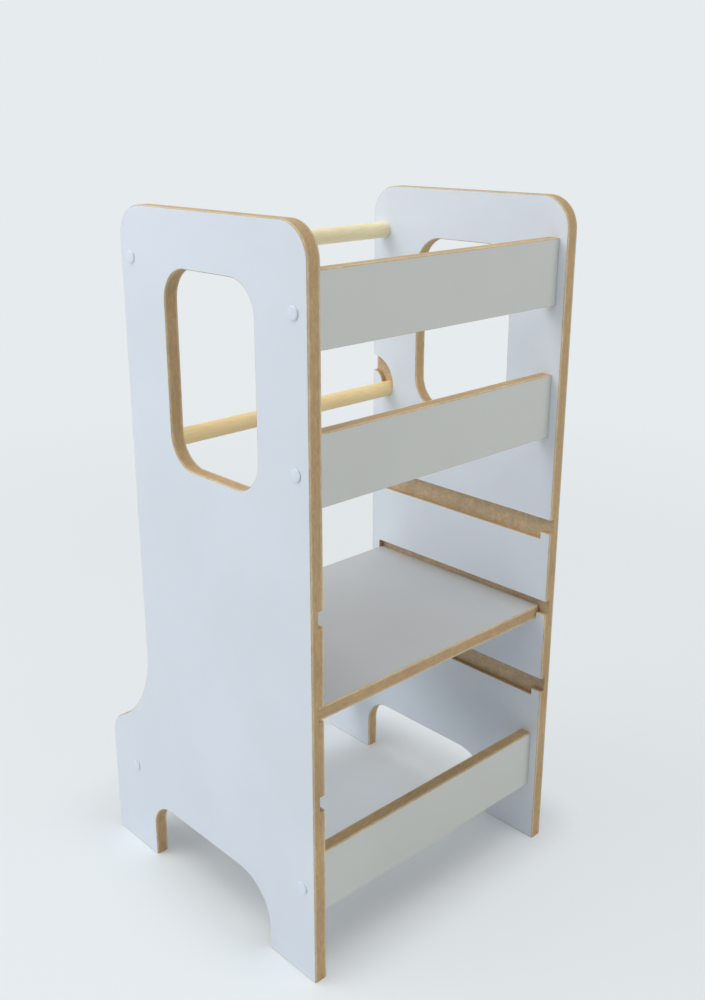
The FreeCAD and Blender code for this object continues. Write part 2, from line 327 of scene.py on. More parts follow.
def fibre_group():
    """Raw edge of a fibreboard under lacquer. Vector runs (across, along, up) from the board's middle."""
    tree, given, out = node_group(
        "Fibreboard Edge",
        [("Vector", "vector", None), ("Core", "colour", None), ("Arris", "colour", None),
         ("Half Thickness", "value", 0.009)],
        [("Colour", "colour"), ("Roughness", "value"), ("Height", "value")])
    vector = given.outputs["Vector"]
    across = add_node(tree, "ShaderNodeSeparateXYZ", {"Vector": vector}).outputs["X"]
    depth = maths(tree, "SUBTRACT", given.outputs["Half Thickness"], maths(tree, "ABSOLUTE", across))

    # A pale band along both faces, with a border that wanders, partly the routed arris's own paler fibre
    # and partly a painted highlight of the lit round, painted wider than the round; and a thin dark line
    # under the laminate
    wander = maths(tree, "MULTIPLY", noise(tree, vector, 60.0, detail=2.0), 0.0016)
    arris = between(tree, maths(tree, "ADD", depth, wander), 0.0046, 0.0020)
    line = between(tree, depth, 0.00045, 0.00015)

    fibres = noise(tree, stretched(tree, vector, (2100, 330, 330)), 1.0, detail=4.0, roughness=0.65)
    clumps = noise(tree, stretched(tree, vector, (420, 120, 120), (3, 1, 7)), 1.0, detail=3.0)
    stains = noise(tree, vector, 9.0, detail=3.0, roughness=0.6)
    streaks = noise(tree, stretched(tree, vector, (330, 42, 42), (2, 8, 5)), 1.0, detail=3.0, roughness=0.6)
    specks = noise(tree, vector, 1500.0, detail=1.0)

    base = blended(tree, arris, given.outputs["Core"], given.outputs["Arris"])
    # Each pattern multiplies the tone by its own range.
    tone = between(tree, fibres, 0.25, 0.75, 0.83, 1.14, smooth=False)
    for pattern, darkest, lightest in ((clumps, 0.87, 1.10), (stains, 0.86, 1.07), (streaks, 0.90, 1.08)):
        share = between(tree, pattern, 0.3, 0.7, darkest, lightest, smooth=False)
        tone = maths(tree, "MULTIPLY", tone, share)
    grey = add_node(tree, "ShaderNodeCombineColor", {"Red": tone, "Green": tone, "Blue": tone}).outputs[0]
    toned = blended(tree, 1.0, base, grey, "MULTIPLY")
    dark = maths(tree, "MULTIPLY", between(tree, specks, 0.66, 0.74), 0.5)
    speckled = blended(tree, dark, toned, SPECK_COLOUR)
    lined = blended(tree, maths(tree, "MULTIPLY", line, 0.12), speckled, FACE_LINE_COLOUR)

    roughness = between(tree, clumps, 0.3, 0.7, 0.50, 0.66)
    height = maths(
        tree, "ADD", maths(tree, "MULTIPLY", fibres, 0.7), maths(tree, "MULTIPLY", specks, 0.3))
    put_out(tree, out, Colour=lined, Roughness=roughness, Height=height)
    arrange(tree)
    return tree


def wood_group():
    """Solid pale wood with its grain along X: growth rings about a leaning pith, pores and flecks."""
    tree, given, out = node_group(
        "Long Grain",
        [("Vector", "vector", None), ("Wood", "colour", None), ("Late Wood", "colour", None),
         ("Pith", "vector", (0, 0, 0)), ("Ring Gap", "value", 0.0022)],
        [("Colour", "colour"), ("Roughness", "value"), ("Height", "value")])
    vector = given.outputs["Vector"]
    from_pith = vector_maths(tree, "SUBTRACT", vector, given.outputs["Pith"])
    leaning = add_node(
        tree, "ShaderNodeMapping", {"Vector": from_pith, "Rotation": (0, 0.035, 0.05)}).outputs["Vector"]
    parts = add_node(tree, "ShaderNodeSeparateXYZ", {"Vector": leaning})
    flat = add_node(
        tree, "ShaderNodeCombineXYZ", {"X": 0.0, "Y": parts.outputs["Y"], "Z": parts.outputs["Z"]})
    radius = vector_maths(tree, "LENGTH", flat.outputs[0])
    wobble = noise(tree, stretched(tree, vector, (3.5, 55, 55)), 1.0, detail=3.0)
    radius = maths(tree, "ADD", radius, maths(tree, "MULTIPLY", wobble, 0.006))
    ring = maths(tree, "FRACT", maths(tree, "DIVIDE", radius, given.outputs["Ring Gap"]))
    late = maths(tree, "MULTIPLY", between(tree, ring, 0.45, 0.92), between(tree, ring, 1.0, 0.94))

    pores = noise(tree, stretched(tree, vector, (45, 2600, 2600)), 1.0, detail=2.0, roughness=0.6)
    fibre = noise(tree, stretched(tree, vector, (9, 420, 420)), 1.0, detail=4.0, roughness=0.6)
    patch = noise(tree, stretched(tree, vector, (3, 40, 40), (5, 2, 9)), 1.0, detail=2.0)

    factor = maths(tree, "MULTIPLY", late, 0.38)
    for pattern, share in ((fibre, 0.55), (patch, 0.35)):
        factor = maths(tree, "ADD", factor, maths(tree, "MULTIPLY", pattern, share))
    factor = maths(tree, "SUBTRACT", factor, 0.28, clamp=True)
    base = blended(tree, factor, given.outputs["Wood"], given.outputs["Late Wood"])
    fleck = maths(tree, "MULTIPLY", between(tree, pores, 0.60, 0.70), 0.28)
    shown = blended(tree, fleck, base, PORE_COLOUR)
    roughness = between(tree, fibre, 0.3, 0.7, 0.42, 0.56)
    height = maths(
        tree, "SUBTRACT", maths(tree, "MULTIPLY", fibre, 0.4), maths(tree, "MULTIPLY", fleck, 1.6))
    put_out(tree, out, Colour=shown, Roughness=roughness, Height=height)
    arrange(tree)
    return tree


GROUP_MAKERS = {"Handling": handling_group, "Fibreboard Edge": fibre_group, "Long Grain": wood_group}


def place_group(tree, name, inputs):
    """Node that uses the group of that name, which is made on its first use."""
    group = bpy.data.node_groups.get(name) or GROUP_MAKERS[name]()
    made = tree.nodes.new("ShaderNodeGroup")
    made.node_tree = group
    for key, value in inputs.items():
        if isinstance(value, bpy.types.NodeSocket):
            tree.links.new(value, made.inputs[key])
        elif hasattr(value, "__len__") and made.inputs[key].type == "RGBA":
            made.inputs[key].default_value = (*value[:3], 1)
        else:
            made.inputs[key].default_value = value
    return made.outputs


# ---- materials ----------------------------------------------------------------------------------
def new_material(name):
    """Material with a Principled shader; returns it, its tree and the shader."""
    made = bpy.data.materials.new(name)
    made.use_nodes = True
    return made, made.node_tree, made.node_tree.nodes["Principled BSDF"]


def set_surface(tree, shader, tone, roughness, height, relief):
    """Joins colour, roughness and a bump as high as the relief to the shader, and sets the nodes out."""
    bump = add_node(tree, "ShaderNodeBump", {"Height": height, "Distance": relief}).outputs["Normal"]
    for label, socket in (("Base Color", tone), ("Roughness", roughness), ("Normal", bump)):
        tree.links.new(socket, shader.inputs[label])
    arrange(tree)


def shaded(tone, share):
    """Linear colour made darker or lighter."""
    return tuple(min(c * share, 1) for c in tone)


def sheet_material(name, sheet_colour, roughness):
    """Satin laminate: even colour with slight clouding, rubbed streaks and a fine skin."""
    made, tree, shader = new_material(name)
    traces = place_group(tree, "Handling", {"Vector": object_place(tree), "Skin Size": 0.0007})
    darker, lighter = shaded(sheet_colour, 0.98), shaded(sheet_colour, 1.02)
    clouded = blended(tree, between(tree, traces["Cloud"], 0.32, 0.68), darker, lighter)
    rubbed = blended(tree, maths(tree, "MULTIPLY", traces["Rub"], 0.25), clouded, lighter)
    dullness = between(tree, traces["Cloud"], 0.3, 0.7, roughness - 0.03, roughness + 0.04)
    shader.inputs["Specular IOR Level"].default_value = 0.4
    set_surface(tree, shader, rubbed, dullness, traces["Skin"], 0.00003)
    return made


def raw_edge_material(name, core, arris):
    """Lacquered raw edge of a fibreboard, by the place in the board that each point holds."""
    made, tree, shader = new_material(name)
    place = add_node(tree, "ShaderNodeAttribute", attribute_name="board_place").outputs["Vector"]
    fibre = place_group(tree, "Fibreboard Edge", {
        "Vector": place, "Core": core, "Arris": arris, "Half Thickness": BOARD / 2})
    shader.inputs["Specular IOR Level"].default_value = 0.35
    set_surface(tree, shader, fibre["Colour"], fibre["Roughness"], fibre["Height"], 0.00012)
    return made


def wood_material(name, wood, late_wood, pith, ring_gap):
    """Sanded and lacquered wood with its grain along X."""
    made, tree, shader = new_material(name)
    grain = place_group(tree, "Long Grain", {
        "Vector": object_place(tree), "Wood": wood, "Late Wood": late_wood, "Pith": pith,
        "Ring Gap": ring_gap})
    set_surface(tree, shader, grain["Colour"], grain["Roughness"], grain["Height"], 0.00008)
    return made


def cap_material(name, plastic):
    """Moulded plastic with a faint satin skin."""
    made, tree, shader = new_material(name)
    traces = place_group(tree, "Handling", {"Vector": object_place(tree), "Skin Size": 0.0003})
    clouded = blended(tree, traces["Cloud"], shaded(plastic, 0.95), plastic)
    dullness = between(tree, traces["Skin"], 0.3, 0.7, 0.34, 0.42)
    set_surface(tree, shader, clouded, dullness, traces["Skin"], 0.00002)
    return made


def steel_material(name, steel):
    """Zinc-plated steel, a little cloudy, with fine turning marks round the screw."""
    made, tree, shader = new_material(name)
    place = object_place(tree)
    traces = place_group(tree, "Handling", {"Vector": place, "Skin Size": 0.0004})
    turning = noise(tree, stretched(tree, place, (9000, 300, 300)), 1.0, detail=2.0)
    plated = blended(tree, traces["Skin"], shaded(steel, 0.72), steel)
    dullness = between(tree, turning, 0.3, 0.7, 0.28, 0.42)
    shader.inputs["Metallic"].default_value = 1.0
    set_surface(tree, shader, plated, dullness, turning, 0.00002)
    return made


# (place of the pith, gap between rings) of each wood. A bar's pith lies beside it, so it shows stripes.
FIXED_BAR_RINGS = ((0, 0.128, 0.816), 0.0021)
LOOSE_BAR_RINGS = ((0, 0.048, 0.640), 0.0024)
DOWEL_RINGS = ((0, 0, 0), 0.0016)
SHEET_ROUGHNESS = 0.42
PLATFORM_ROUGHNESS = 0.35


def material(name):
    """The finished material of that name, made on its first use from the scene's colours."""
    tones = bpy.context.scene.stool_colours
    makers = {
        # The three sheets are one laminate: lighter and bluer on the panels as painted light, darker on the
        # rails and platform as painted shade.
        "panel_sheet": lambda: sheet_material(name, tones.panel_sheet, SHEET_ROUGHNESS),
        "rail_sheet": lambda: sheet_material(name, tones.rail_sheet, SHEET_ROUGHNESS),
        "platform_sheet": lambda: sheet_material(name, tones.platform_sheet, PLATFORM_ROUGHNESS),
        "raw_board_edge": lambda: raw_edge_material(name, tones.fibre, tones.fibre_arris_and_highlight),
        "routed_board": lambda: raw_edge_material(name, tones.routed, tones.routed),
        "fixed_bar_wood": lambda: wood_material(
            name, tones.fixed_wood, tones.fixed_grain, *FIXED_BAR_RINGS),
        "loose_bar_wood": lambda: wood_material(
            name, tones.loose_wood, tones.loose_grain, *LOOSE_BAR_RINGS),
        "fluted_dowel_wood": lambda: wood_material(
            name, tones.loose_wood, tones.loose_grain, *DOWEL_RINGS),
        "cap_moulding": lambda: cap_material(name, tones.cap),
        "zinc_screw": lambda: steel_material(name, tones.steel),
    }
    return bpy.data.materials.get(name) or makers[name]()


# ---- modelling helpers --------------------------------------------------------------------------
# Flat work is drawn as (U, height) and extruded across; this turns it into the stool's X, Y and Z.
FLAT_TO_STOOL = Matrix(((0, 0, 1, 0), (1, 0, 0, FRONT_Y), (0, 1, 0, 0), (0, 0, 0, 1)))
ALONG_X = Matrix.Rotation(math.pi / 2, 4, "Y")


def new_object(name, mesh):
    """Object at the origin with that mesh, curve, lamp or camera, in the scene."""
    made = bpy.data.objects.new(name, mesh)
    bpy.context.scene.collection.objects.link(made)
    return made


def mesh_from(name, shape):
    """Mesh of a bmesh, whose faces are first made to point outwards."""
    bmesh.ops.recalc_face_normals(shape, faces=shape.faces)
    mesh = bpy.data.meshes.new(name)
    shape.to_mesh(mesh)
    shape.free()
    return mesh


def baked(piece):
    """Applies the piece's modifiers, or fills a curve, and gives its mesh."""
    graph = bpy.context.evaluated_depsgraph_get()
    return bpy.data.meshes.new_from_object(piece.evaluated_get(graph))


def discard(piece):
    """Deletes an object that was only a step, with its mesh or curve."""
    data = piece.data
    bpy.data.objects.remove(piece)
    (bpy.data.curves if isinstance(data, bpy.types.Curve) else bpy.data.meshes).remove(data)


def cut(piece, cutter_shape):
    """Takes the closed cutting shape away from the piece."""
    cutter = new_object("cutter", mesh_from("cutter", cutter_shape))
    hole = piece.modifiers.new("Cut", "BOOLEAN")
    hole.operation = "DIFFERENCE"
    hole.solver = "EXACT"
    hole.object = cutter
    result = baked(piece)
    piece.modifiers.clear()
    old, piece.data = piece.data, result
    bpy.data.meshes.remove(old)
    discard(cutter)


def clean_faces(mesh):
    """Joins doubled points and runs flat triangles together, so that shading stays even."""
    shape = bmesh.new()
    shape.from_mesh(mesh)
    bmesh.ops.remove_doubles(shape, verts=shape.verts, dist=TINY / 2)
    bmesh.ops.dissolve_limit(
        shape, angle_limit=FLAT_ANGLE, verts=shape.verts, edges=shape.edges,
        use_dissolve_boundaries=False)
    bmesh.ops.recalc_face_normals(shape, faces=shape.faces)
    shape.to_mesh(mesh)
    shape.free()


def verts_of(items):
    """The points among the parts of a bmesh."""
    return [item for item in items if isinstance(item, bmesh.types.BMVert)]


def round_edges(shape, edges, width, segments):
    """Rounds those edges of a bmesh."""
    bmesh.ops.bevel(
        shape, geom=edges, offset=width, segments=segments, profile=0.5, affect="EDGES", material=-1)


def rod(shape, radius, start, end, segments=HOLE_STEPS):
    """Adds a closed rod along X, from the (x, y, z) start to another X."""
    low, high = Vector(start), Vector((end, start[1], start[2]))
    place = Matrix.Translation((low + high) / 2) @ ALONG_X
    bmesh.ops.create_cone(
        shape, cap_ends=True, segments=segments, radius1=radius, radius2=radius,
        depth=high.x - low.x, matrix=place)


def smooth_shading(mesh, degrees=30):
    """Smooth faces, with an edge left sharp where it turns by more than the angle."""
    mesh.polygons.foreach_set("use_smooth", [True] * len(mesh.polygons))
    mesh.set_sharp_from_angle(angle=math.radians(degrees))


def even_normals(piece):
    """Lets the large flat faces set the shading where a rounded edge runs into them."""
    weighting = piece.modifiers.new("Even Normals", "WEIGHTED_NORMAL")
    weighting.mode = "FACE_AREA"
    weighting.weight = 100
    weighting.keep_sharp = True


def dress_board(piece, axis, middle, sheet):
    """Laminate on both faces across the axis, paler fibre on routed bottoms and raw fibre elsewhere.

    Each point also holds its place in the board, for the raw fibre."""
    mesh = piece.data
    along, up = [i for i in range(3) if i != axis]
    mesh.materials.clear()
    for name in (sheet, "raw_board_edge", "routed_board"):
        mesh.materials.append(material(name))
    place = mesh.attributes.new("board_place", "FLOAT_VECTOR", "POINT")
    for vertex, item in zip(mesh.vertices, place.data):
        item.vector = (vertex.co[axis] - middle, vertex.co[along], vertex.co[up])
    for face in mesh.polygons:
        outside = abs(abs(face.center[axis] - middle) - BOARD / 2) < TINY
        flat = abs(face.normal[axis]) > STRAIGHT
        face.material_index = (0 if outside else 2) if flat else 1
    smooth_shading(mesh)
    even_normals(piece)


# ---- side panels --------------------------------------------------------------------------------
def rounded_corner(corner, back, ahead, radius):
    """Bezier points of a corner's true arc in two halves, each (place, left handle, right handle)."""
    if not radius:
        return [[corner, None, None]]
    apex = back.angle(ahead)
    turn = math.pi - apex
    inward = (back + ahead).normalized()
    across = (ahead - back).normalized()
    start = corner + back * (radius / math.tan(apex / 2))
    end = corner + ahead * (radius / math.tan(apex / 2))
    middle = corner + inward * (radius / math.sin(apex / 2) - radius)
    reach = 4 / 3 * math.tan(turn / 8) * radius
    return [[start, None, start - back * reach], [middle, middle - across * reach, middle + across * reach],
            [end, end - ahead * reach, None]]


def add_outline(curve, corners):
    """Closed outline through (U, height, radius) corners, its sides straight and its corners rounded."""
    places = [Vector((u, z, 0)) for u, z, _ in corners]
    points = []
    for i, corner in enumerate(places):
        back = (places[i - 1] - corner).normalized()
        ahead = (places[(i + 1) % len(places)] - corner).normalized()
        made = rounded_corner(corner, back, ahead, corners[i][2])
        if points and (points[-1][0] - made[0][0]).length < TINY:
            points[-1][2] = made.pop(0)[2]
        points += made
    for i, point in enumerate(points):
        after = points[(i + 1) % len(points)]
        side = (after[0] - point[0]) / 3
        point[2] = point[2] or point[0] + side
        after[1] = after[1] or after[0] - side
    spline = curve.splines.new("BEZIER")
    spline.bezier_points.add(len(points) - 1)
    for item, (place, left, right) in zip(spline.bezier_points, points):
        item.handle_left_type = item.handle_right_type = "FREE"
        item.co, item.handle_left, item.handle_right = place, left, right
    spline.use_cyclic_u = True


def panel_blank(arris):
    """Routed board with its window and rounded arrises, at the left of the stool."""
    curve = bpy.data.curves.new("panel_outline", "CURVE")
    curve.dimensions = "2D"
    curve.fill_mode = "BOTH"
    curve.resolution_u = ARC_STEPS // 2
    curve.extrude = BOARD / 2 - arris
    curve.bevel_depth = arris
    curve.bevel_resolution = 3
    curve.offset = -arris
    add_outline(curve, PANEL_CORNERS)
    add_outline(curve, WINDOW_CORNERS)
    outline = new_object("panel_outline", curve)
    mesh = baked(outline)
    discard(outline)
    mesh.transform(Matrix.Translation((-PANEL_MIDDLE_X, 0, 0)) @ FLAT_TO_STOOL)
    clean_faces(mesh)
    return new_object("panel_blank", mesh)


def draw_groove(shape, floor):
    """Flat outline face of one level's groove, open at the front edge over its lip."""
    lip = floor + LIP_HEIGHT
    ceiling = floor + GROOVE_HEIGHT
    corners = ((-OVERCUT, lip), (LIP_LENGTH, lip), (LIP_LENGTH, floor), (GROOVE_END_U, floor),
               (GROOVE_END_U, ceiling), (-OVERCUT, ceiling))
    points = [shape.verts.new((u, z, 0)) for u, z in corners]
    shape.faces.new(points)
    bmesh.ops.bevel(
        shape, geom=points[2:5], offset=GROOVE_CORNER, segments=6, profile=0.5,
        affect="VERTICES", material=-1)


def draw_slot(shape):
    """Flat faces of the curved slot that holds an end of the loose bar."""
    centre = Vector((*SLOT_CENTRE, 0))
    half = SLOT_WIDTH / 2
    inner = shape.verts.new(centre + Vector((0, SLOT_RADIUS - half, 0)))
    outer = shape.verts.new(centre + Vector((0, SLOT_RADIUS + half, 0)))
    mouth = shape.edges.new((inner, outer))
    behind = bmesh.ops.extrude_edge_only(shape, edges=[mouth])["geom"]
    bmesh.ops.translate(shape, verts=verts_of(behind), vec=(OVERCUT, 0, 0))
    swept = bmesh.ops.spin(
        shape, geom=[inner, outer, mouth], cent=centre, axis=(0, 0, 1), angle=SLOT_SEAT - SLOT_MOUTH,
        steps=ARC_STEPS, use_duplicate=False)["geom_last"]
    near, far = sorted(verts_of(swept), key=lambda vertex: (vertex.co - centre).length)
    seat = (near.co + far.co) / 2
    bmesh.ops.spin(
        shape, geom=[far], cent=seat, axis=(0, 0, 1), angle=math.pi, steps=ARC_STEPS,
        use_duplicate=False)
    bmesh.ops.remove_doubles(shape, verts=shape.verts, dist=TINY / 10)
    rim = [edge for edge in shape.edges if not edge.link_faces]
    rim += [edge for edge in shape.edges if all((v.co - seat).length < half + TINY for v in edge.verts)
            and len(edge.link_faces) == 1 and edge.calc_length() > half]
    bmesh.ops.contextual_create(shape, geom=rim)


def rout(piece, shape):
    """Cuts flat outlines into the inner face of the left panel, to the grooves' depth."""
    made = bmesh.ops.extrude_face_region(shape, geom=shape.faces[:])["geom"]
    bmesh.ops.translate(shape, verts=verts_of(made), vec=(0, 0, GROOVE_DEPTH + OVERCUT))
    place = Matrix.Translation((-INNER_X - GROOVE_DEPTH, 0, 0)) @ FLAT_TO_STOOL
    bmesh.ops.transform(shape, matrix=place, verts=shape.verts)
    cut(piece, shape)


def screw_holes(shape, fixings):
    """Countersunk holes of the screws, from the left panel's outer face inwards."""
    profile = ((-OUTER_X - OVERCUT, SCREW_HEAD_HOLE_R), (-OUTER_X, SCREW_HEAD_HOLE_R),
               (-OUTER_X + SCREW_HEAD_DEPTH, SCREW_HOLE_R), (-OUTER_X + SCREW_HOLE_LENGTH, SCREW_HOLE_R))
    for u, z in fixings:
        turned(shape, profile, FRONT_Y + u, z, closed=True)


def turned(shape, profile, y, z, closed=False, steps=HOLE_STEPS):
    """Adds a turned piece about a line along X, from (X, radius) points; closed adds its flat ends."""
    points = [shape.verts.new((x, y + radius, z)) for x, radius in profile]
    if closed:
        points.insert(0, shape.verts.new((profile[0][0], y, z)))
        points.append(shape.verts.new((profile[-1][0], y, z)))
    edges = [shape.edges.new(pair) for pair in zip(points, points[1:])]
    bmesh.ops.spin(
        shape, geom=points + edges, cent=(0, y, z), axis=(1, 0, 0), angle=2 * math.pi, steps=steps,
        use_merge=True)


def dowel_points():
    """(U, height) of every dowel at a panel."""
    return [(u, z + side * DOWEL_SPREAD) for u, z in RAIL_FIXINGS for side in (-1, 1)]


class STOOL_OT_side_panels(bpy.types.Operator):
    """Routed side panels with their window, foot arch, grooves, bar slot and drilled holes"""
    bl_idname = "stool.side_panels"
    bl_label = "Side Panels"

    def execute(self, context):
        left = panel_blank(context.scene.stool_shape.panel_arris)
        outlines = bmesh.new()
        for floor in GROOVE_FLOORS:
            draw_groove(outlines, floor)
        draw_slot(outlines)
        rout(left, outlines)
        drilled = bmesh.new()
        screw_holes(drilled, RAIL_FIXINGS + (BAR_FIXING,))
        for u, z in dowel_points():
            rod(drilled, DOWEL_HOLE_R, (-INNER_X - DOWEL_IN_PANEL, FRONT_Y + u, z), -INNER_X + OVERCUT)
        bmesh.ops.remove_doubles(drilled, verts=drilled.verts, dist=TINY / 10)
        cut(left, drilled)
        clean_faces(left.data)
        left.name = left.data.name = "left_panel"
        right = new_object("right_panel", left.data.copy())
        right.data.transform(Matrix.Scale(-1, 4, (1, 0, 0)))
        clean_faces(right.data)
        for piece, side, node in ((left, -1, "left_side_panel"), (right, 1, "right_side_panel")):
            dress_board(piece, 0, side * PANEL_MIDDLE_X, "panel_sheet")
            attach(piece, "frame")
            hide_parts(node)
        return {"FINISHED"}


# ---- rails and platform -------------------------------------------------------------------------
def add_box(shape, low, high):
    """Box between two corners."""
    place = Matrix.Translation((low + high) / 2) @ Matrix.Diagonal((*(high - low), 1))
    bmesh.ops.create_cube(shape, size=1, matrix=place)


def lies_along(edge, axis):
    """Whether the edge runs along that axis."""
    run = edge.verts[1].co - edge.verts[0].co
    return abs(run[axis]) > STRAIGHT * run.length


class STOOL_OT_rails(bpy.types.Operator):
    """Three front rails and the rear bottom rail, drilled in their ends"""
    bl_idname = "stool.rails"
    bl_label = "Rails"

    def execute(self, context):
        sizes = context.scene.stool_shape
        for node in RAILS:
            low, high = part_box(node)
            shape = bmesh.new()
            add_box(shape, low, high)
            weights = shape.edges.layers.float.new("bevel_weight_edge")
            for edge in shape.edges:
                top = lies_along(edge, 0) and edge.verts[0].co.z > (low.z + high.z) / 2
                edge[weights] = 1 if top else sizes.rail_end_arris / sizes.rail_arris
            piece = new_object(node + "_board", mesh_from(node + "_board", shape))
            arris = piece.modifiers.new("Arris", "BEVEL")
            arris.limit_method = "WEIGHT"
            arris.width = sizes.rail_arris
            arris.segments = sizes.round_segments
            arris.profile = 0.5
            middle_y, middle_z = (low.y + high.y) / 2, (low.z + high.z) / 2
            drilled = bmesh.new()
            screw_end = SCREW_HOLE_LENGTH - BOARD
            for z, radius, depth in (
                    (middle_z, SCREW_HOLE_R, screw_end),
                    (middle_z - DOWEL_SPREAD, DOWEL_HOLE_R, DOWEL_IN_RAIL),
                    (middle_z + DOWEL_SPREAD, DOWEL_HOLE_R, DOWEL_IN_RAIL)):
                rod(drilled, radius, (low.x - OVERCUT, middle_y, z), low.x + depth)
                rod(drilled, radius, (high.x - depth, middle_y, z), high.x + OVERCUT)
            cut(piece, drilled)
            clean_faces(piece.data)
            dress_board(piece, 1, middle_y, "rail_sheet")
            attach(piece, "frame")
            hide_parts(node)
        return {"FINISHED"}


class STOOL_OT_platform(bpy.types.Operator):
    """Platform board that drops into the grooves"""
    bl_idname = "stool.platform"
    bl_label = "Platform"

    def execute(self, context):
        sizes = context.scene.stool_shape
        low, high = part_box("platform")
        shape = bmesh.new()
        add_box(shape, low, high)
        uprights = [edge for edge in shape.edges if lies_along(edge, 2)]
        round_edges(shape, uprights, sizes.platform_corner, 2 * sizes.round_segments)
        arrises = [edge for edge in shape.edges if not lies_along(edge, 2)]
        round_edges(shape, arrises, sizes.platform_arris, sizes.round_segments)
        piece = new_object("platform_board", mesh_from("platform_board", shape))
        dress_board(piece, 2, (low.z + high.z) / 2, "platform_sheet")
        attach(piece, "platform")
        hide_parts("platform")
        return {"FINISHED"}


# ---- bars, caps and joinery ---------------------------------------------------------------------
def bar_mesh(name, node, arris, segments):
    """Round bar that fills its CAD box, with rounded ends."""
    low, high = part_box(node)
    shape = bmesh.new()
    radius = (high.z - low.z) / 2
    middle = (low + high) / 2
    rod(shape, radius, (low.x, middle.y, middle.z), high.x, segments=segments)
    rims = [edge for edge in shape.edges if not lies_along(edge, 0)]
    round_edges(shape, rims, arris, BAR_END_STEPS)
    return mesh_from(name, shape)


class STOOL_OT_bars(bpy.types.Operator):
    """Fixed top bar, screwed between the panels, and the loose bar in the curved slots"""
    bl_idname = "stool.bars"
    bl_label = "Round Bars"

    def execute(self, context):
        sizes = context.scene.stool_shape
        fixed = new_object(
            "fixed_bar", bar_mesh("fixed_bar", "top_rear_bar", sizes.bar_arris, sizes.bar_segments))
        low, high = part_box("top_rear_bar")
        drilled = bmesh.new()
        depth = SCREW_HOLE_LENGTH - BOARD
        u, z = BAR_FIXING
        rod(drilled, SCREW_HOLE_R, (low.x - OVERCUT, FRONT_Y + u, z), low.x + depth)
        rod(drilled, SCREW_HOLE_R, (high.x - depth, FRONT_Y + u, z), high.x + OVERCUT)
        cut(fixed, drilled)
        loose = new_object(
            "loose_bar", bar_mesh("loose_bar", "removable_rear_bar", sizes.bar_arris, sizes.bar_segments))
        for piece, body, node, wood in (
                (fixed, "frame", "top_rear_bar", "fixed_bar_wood"),
                (loose, "removable_rear_bar", "removable_rear_bar", "loose_bar_wood")):
            piece.data.materials.clear()
            piece.data.materials.append(material(wood))
            smooth_shading(piece.data)
            even_normals(piece)
            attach(piece, body)
            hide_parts(node)
        return {"FINISHED"}


# (height over the panel, radius) of a screw cap from its edge to the middle of its crown
CAP_PROFILE = ((0.0, 0.0068), (0.00030, 0.0070), (0.00040, 0.0075), (0.00105, 0.0075), (0.00135, 0.0072),
               (0.00152, 0.0064), (0.00166, 0.0048), (0.00176, 0.0024))
CAP_TOP = 0.0018
STEM_RADIUS = 0.00225
STEM_TOP = 0.0003
STEM_LENGTH = 0.003
CAP_SHARP_DEGREES = 50


def caps_shape(steps):
    """Domed caps with hexagonal stems over the screws of the left panel."""
    shape = bmesh.new()
    profile = [(-OUTER_X - height, radius) for height, radius in CAP_PROFILE + ((CAP_TOP, 0),)]
    for u, z in RAIL_FIXINGS + (BAR_FIXING,):
        y = FRONT_Y + u
        turned(shape, profile, y, z, steps=steps)
        rod(shape, STEM_RADIUS, (-OUTER_X - STEM_TOP, y, z), -OUTER_X + STEM_LENGTH, segments=6)
    bmesh.ops.remove_doubles(shape, verts=shape.verts, dist=TINY / 10)
    bmesh.ops.holes_fill(shape, edges=[edge for edge in shape.edges if edge.is_boundary], sides=0)
    return shape


class STOOL_OT_screw_caps(bpy.types.Operator):
    """Domed plastic caps over the screw heads"""
    bl_idname = "stool.screw_caps"
    bl_label = "Screw Caps"

    def execute(self, context):
        steps = context.scene.stool_shape.bar_segments
        for name, side, node in (
                ("left_caps", 1, "left_screw_caps"), ("right_caps", -1, "right_screw_caps")):
            shape = caps_shape(steps)
            bmesh.ops.scale(shape, vec=(side, 1, 1), verts=shape.verts)
            piece = new_object(name, mesh_from(name, shape))
            piece.data.materials.append(material("cap_moulding"))
            smooth_shading(piece.data, CAP_SHARP_DEGREES)
            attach(piece, "frame")
            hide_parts(node)
        return {"FINISHED"}


class STOOL_OT_joinery(bpy.types.Operator):
    """Finishes of the screws and dowels that stay as CAD pieces"""
    bl_idname = "stool.joinery"
    bl_label = "Screws and Dowels"

    def execute(self, context):
        for name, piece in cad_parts.items():
            finish = {"screws": "zinc_screw", "dowels": "fluted_dowel_wood"}.get(name.rsplit("_", 1)[-1])
            if finish:
                for slot in piece.material_slots:
                    slot.material = material(finish)
        return {"FINISHED"}


# ---- stage --------------------------------------------------------------------------------------
CAMERA_PLACE = (-0.9307, -1.0280, 1.0012)
CAMERA_YAW = 41.857
CAMERA_PITCH = 18.579
CAMERA_ROLL = -0.517
CAMERA_SHIFT = (0.0318, -0.0171)
FILM_WIDTH = 36
FLOOR_RADIUS = 30.0
# Rectangle of the floor, under and behind the stool, where its rendered shadow is kept almost whole
SHADE_MIDDLE = (0, 0.05, 0)
SHADE_HALF = (0.218, 0.215, 0)
# Share of the backdrop's glow in the floor that the camera sees, first in that rectangle and then
# SHADE_EDGE away from it; the rise between them paints light over the stool's shadow beside it. The rest
# follows by BACKDROP_END.
SHADE_SHARE, BESIDE_GLOW_SHARE = 0.08, 0.72
SHADE_EDGE, BACKDROP_START, BACKDROP_END = 0.11, 0.1, 2.3
